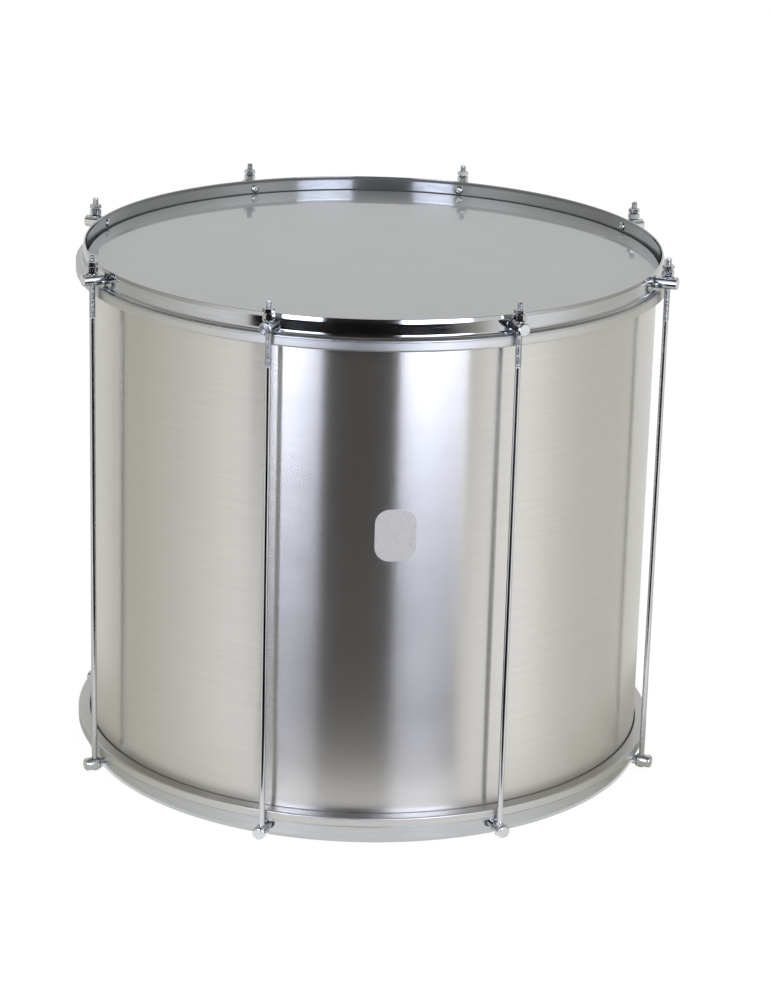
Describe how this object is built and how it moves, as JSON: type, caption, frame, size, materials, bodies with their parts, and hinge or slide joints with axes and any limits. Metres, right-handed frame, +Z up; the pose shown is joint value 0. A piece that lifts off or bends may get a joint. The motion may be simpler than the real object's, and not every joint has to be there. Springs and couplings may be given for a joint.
{
  "type": "surdo",
  "caption": "Large two-headed cylindrical bass drum with a brushed aluminium shell, chromed counterhoops and long tension rods, tuned by nuts at the top hoop.",
  "frame": {"origin": "centre of the circle on which the lower counterhoop's rim stands", "axes": "+Z up along the drum's axis; -Y is the front, midway between two tension rods, with the label; +X is to the right of someone who looks at the front"},
  "size_m": [0.5766, 0.5766, 0.5235],
  "materials": {
    "shell": "brushed around its girth, bare",
    "flesh_hoop": "extruded and rolled, fine satin",
    "hoop_chrome": "polished chromed steel",
    "post_chrome": "turned and chromed steel",
    "zinc_steel": "bright zinc-plated steel",
    "film": "satin polyester film",
    "label": "plain coated sticker"
  },
  "bodies": {
    "drum": {"shell": "shell", "top_head": "film", "top_flesh_hoop": "flesh_hoop", "top_hoop": "hoop_chrome", "bottom_head": "film", "bottom_flesh_hoop": "flesh_hoop", "bottom_hoop": "hoop_chrome", "label": "label", "top_post_1": "post_chrome", "bottom_post_1": "post_chrome", "tension_rod_1": "zinc_steel", "top_post_2": "post_chrome", "bottom_post_2": "post_chrome", "tension_rod_2": "zinc_steel", "top_post_3": "post_chrome", "bottom_post_3": "post_chrome", "tension_rod_3": "zinc_steel", "top_post_4": "post_chrome", "bottom_post_4": "post_chrome", "tension_rod_4": "zinc_steel", "top_post_5": "post_chrome", "bottom_post_5": "post_chrome", "tension_rod_5": "zinc_steel", "top_post_6": "post_chrome", "bottom_post_6": "post_chrome", "tension_rod_6": "zinc_steel", "top_post_7": "post_chrome", "bottom_post_7": "post_chrome", "tension_rod_7": "zinc_steel", "top_post_8": "post_chrome", "bottom_post_8": "post_chrome", "tension_rod_8": "zinc_steel"},
    "washer_1": {"washer_1": "zinc_steel"},
    "tuning_nut_1": {"tuning_nut_1": "zinc_steel"},
    "lock_nut_1": {"lock_nut_1": "zinc_steel"},
    "washer_2": {"washer_2": "zinc_steel"},
    "tuning_nut_2": {"tuning_nut_2": "zinc_steel"},
    "lock_nut_2": {"lock_nut_2": "zinc_steel"},
    "washer_3": {"washer_3": "zinc_steel"},
    "tuning_nut_3": {"tuning_nut_3": "zinc_steel"},
    "lock_nut_3": {"lock_nut_3": "zinc_steel"},
    "washer_4": {"washer_4": "zinc_steel"},
    "tuning_nut_4": {"tuning_nut_4": "zinc_steel"},
    "lock_nut_4": {"lock_nut_4": "zinc_steel"},
    "washer_5": {"washer_5": "zinc_steel"},
    "tuning_nut_5": {"tuning_nut_5": "zinc_steel"},
    "lock_nut_5": {"lock_nut_5": "zinc_steel"},
    "washer_6": {"washer_6": "zinc_steel"},
    "tuning_nut_6": {"tuning_nut_6": "zinc_steel"},
    "lock_nut_6": {"lock_nut_6": "zinc_steel"},
    "washer_7": {"washer_7": "zinc_steel"},
    "tuning_nut_7": {"tuning_nut_7": "zinc_steel"},
    "lock_nut_7": {"lock_nut_7": "zinc_steel"},
    "washer_8": {"washer_8": "zinc_steel"},
    "tuning_nut_8": {"tuning_nut_8": "zinc_steel"},
    "lock_nut_8": {"lock_nut_8": "zinc_steel"}
  },
  "joints": [
    {"name": "washer_lift_1", "type": "slide", "parent": "drum", "child": "washer_1", "axis": [0, 0, 1], "range_m": [0, 0.006]},
    {"name": "tuning_nut_turn_1", "type": "hinge", "parent": "washer_1", "child": "tuning_nut_1", "pos_m": [0.11213, -0.2707, 0.509], "axis": [0, 0, 1], "range_deg": [0, 2160]},
    {"name": "lock_nut_turn_1", "type": "hinge", "parent": "tuning_nut_1", "child": "lock_nut_1", "pos_m": [0.11213, -0.2707, 0.509], "axis": [0, 0, 1], "range_deg": [0, 270]},
    {"name": "washer_lift_2", "type": "slide", "parent": "drum", "child": "washer_2", "axis": [0, 0, 1], "range_m": [0, 0.006]},
    {"name": "tuning_nut_turn_2", "type": "hinge", "parent": "washer_2", "child": "tuning_nut_2", "pos_m": [0.2707, -0.11213, 0.509], "axis": [0, 0, 1], "range_deg": [0, 2160]},
    {"name": "lock_nut_turn_2", "type": "hinge", "parent": "tuning_nut_2", "child": "lock_nut_2", "pos_m": [0.2707, -0.11213, 0.509], "axis": [0, 0, 1], "range_deg": [0, 270]},
    {"name": "washer_lift_3", "type": "slide", "parent": "drum", "child": "washer_3", "axis": [0, 0, 1], "range_m": [0, 0.006]},
    {"name": "tuning_nut_turn_3", "type": "hinge", "parent": "washer_3", "child": "tuning_nut_3", "pos_m": [0.2707, 0.11213, 0.509], "axis": [0, 0, 1], "range_deg": [0, 2160]},
    {"name": "lock_nut_turn_3", "type": "hinge", "parent": "tuning_nut_3", "child": "lock_nut_3", "pos_m": [0.2707, 0.11213, 0.509], "axis": [0, 0, 1], "range_deg": [0, 270]},
    {"name": "washer_lift_4", "type": "slide", "parent": "drum", "child": "washer_4", "axis": [0, 0, 1], "range_m": [0, 0.006]},
    {"name": "tuning_nut_turn_4", "type": "hinge", "parent": "washer_4", "child": "tuning_nut_4", "pos_m": [0.11213, 0.2707, 0.509], "axis": [0, 0, 1], "range_deg": [0, 2160]},
    {"name": "lock_nut_turn_4", "type": "hinge", "parent": "tuning_nut_4", "child": "lock_nut_4", "pos_m": [0.11213, 0.2707, 0.509], "axis": [0, 0, 1], "range_deg": [0, 270]},
    {"name": "washer_lift_5", "type": "slide", "parent": "drum", "child": "washer_5", "axis": [0, 0, 1], "range_m": [0, 0.006]},
    {"name": "tuning_nut_turn_5", "type": "hinge", "parent": "washer_5", "child": "tuning_nut_5", "pos_m": [-0.11213, 0.2707, 0.509], "axis": [0, 0, 1], "range_deg": [0, 2160]},
    {"name": "lock_nut_turn_5", "type": "hinge", "parent": "tuning_nut_5", "child": "lock_nut_5", "pos_m": [-0.11213, 0.2707, 0.509], "axis": [0, 0, 1], "range_deg": [0, 270]},
    {"name": "washer_lift_6", "type": "slide", "parent": "drum", "child": "washer_6", "axis": [0, 0, 1], "range_m": [0, 0.006]},
    {"name": "tuning_nut_turn_6", "type": "hinge", "parent": "washer_6", "child": "tuning_nut_6", "pos_m": [-0.2707, 0.11213, 0.509], "axis": [0, 0, 1], "range_deg": [0, 2160]},
    {"name": "lock_nut_turn_6", "type": "hinge", "parent": "tuning_nut_6", "child": "lock_nut_6", "pos_m": [-0.2707, 0.11213, 0.509], "axis": [0, 0, 1], "range_deg": [0, 270]},
    {"name": "washer_lift_7", "type": "slide", "parent": "drum", "child": "washer_7", "axis": [0, 0, 1], "range_m": [0, 0.006]},
    {"name": "tuning_nut_turn_7", "type": "hinge", "parent": "washer_7", "child": "tuning_nut_7", "pos_m": [-0.2707, -0.11213, 0.509], "axis": [0, 0, 1], "range_deg": [0, 2160]},
    {"name": "lock_nut_turn_7", "type": "hinge", "parent": "tuning_nut_7", "child": "lock_nut_7", "pos_m": [-0.2707, -0.11213, 0.509], "axis": [0, 0, 1], "range_deg": [0, 270]},
    {"name": "washer_lift_8", "type": "slide", "parent": "drum", "child": "washer_8", "axis": [0, 0, 1], "range_m": [0, 0.006]},
    {"name": "tuning_nut_turn_8", "type": "hinge", "parent": "washer_8", "child": "tuning_nut_8", "pos_m": [-0.11213, -0.2707, 0.509], "axis": [0, 0, 1], "range_deg": [0, 2160]},
    {"name": "lock_nut_turn_8", "type": "hinge", "parent": "tuning_nut_8", "child": "lock_nut_8", "pos_m": [-0.11213, -0.2707, 0.509], "axis": [0, 0, 1], "range_deg": [0, 270]}
  ],
  "couplings": [
    {"joint": "tuning_nut_turn_1", "follows": "washer_lift_1", "rad_per_m": 6283.2},
    {"joint": "tuning_nut_turn_2", "follows": "washer_lift_2", "rad_per_m": 6283.2},
    {"joint": "tuning_nut_turn_3", "follows": "washer_lift_3", "rad_per_m": 6283.2},
    {"joint": "tuning_nut_turn_4", "follows": "washer_lift_4", "rad_per_m": 6283.2},
    {"joint": "tuning_nut_turn_5", "follows": "washer_lift_5", "rad_per_m": 6283.2},
    {"joint": "tuning_nut_turn_6", "follows": "washer_lift_6", "rad_per_m": 6283.2},
    {"joint": "tuning_nut_turn_7", "follows": "washer_lift_7", "rad_per_m": 6283.2},
    {"joint": "tuning_nut_turn_8", "follows": "washer_lift_8", "rad_per_m": 6283.2}
  ]
}
